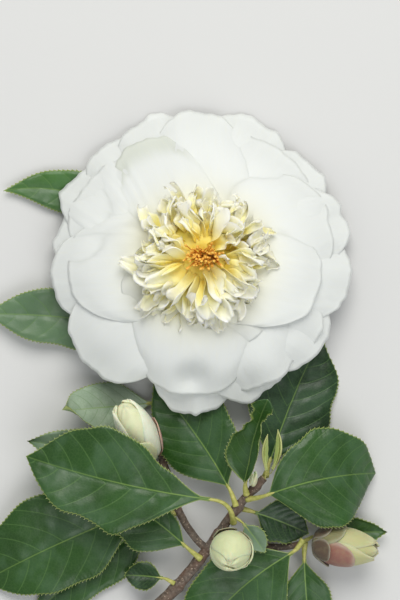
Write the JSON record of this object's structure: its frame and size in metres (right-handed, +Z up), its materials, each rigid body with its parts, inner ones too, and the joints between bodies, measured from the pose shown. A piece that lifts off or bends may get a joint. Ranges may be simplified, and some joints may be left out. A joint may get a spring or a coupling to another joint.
{
  "type": "cut flowering camellia sprig",
  "caption": "Cut camellia sprig lying bloom up: a large double flower, plump buds and stiff toothed leaves on a woody stem, for dressing garden and table scenes.",
  "frame": {"origin": "on the surface the sprig lies on, under the middle of its bounding box", "axes": "+Z up, the way the bloom faces; +Y from the cut foot of the stem towards the bloom; +X to the right of that, towards the right-hand leaves"},
  "size_m": [0.1394, 0.185, 0.0474],
  "materials": {
    "leaf": "glossy dark green leaf with pale midrib and toothed yellow-green margin",
    "young_leaf": "pale yellow-green young leaf",
    "bark": "rough brown bark with pale scars",
    "petal": "soft white petal",
    "inner_petal": "soft cream petal, golden at its foot",
    "bud": "satin cream-green bud scales with pink tints",
    "calyx": "satin green cup scales, brown at the rim"
  },
  "bodies": {
    "root": {"main_stem": "bark", "bloom_twig": "bark", "right_twig": "bark", "leaf_big_left": "leaf", "leaf_low_left": "leaf", "leaf_under_left": "leaf", "leaf_fork": "leaf", "leaf_foot": "leaf", "leaf_curled_left": "leaf", "leaf_tip_left": "leaf", "leaf_centre": "leaf", "leaf_curled_top": "leaf", "leaf_right": "leaf", "leaf_bottom": "leaf", "leaf_bottom_right": "leaf", "leaf_small": "leaf", "leaf_dark_right": "leaf", "leaf_behind_right": "leaf", "leaf_right_bud": "leaf", "leaf_upper_left": "leaf", "leaf_mid_left": "leaf", "young_leaf_left": "young_leaf", "young_leaf_right": "young_leaf", "bud_ball": "bud", "bud_left": "bud", "bud_right": "bud", "bud_tip": "bud", "calyx": "calyx", "petals_back": "petal", "petals_front": "petal", "petals_centre": "inner_petal"}
  },
  "joints": []
}
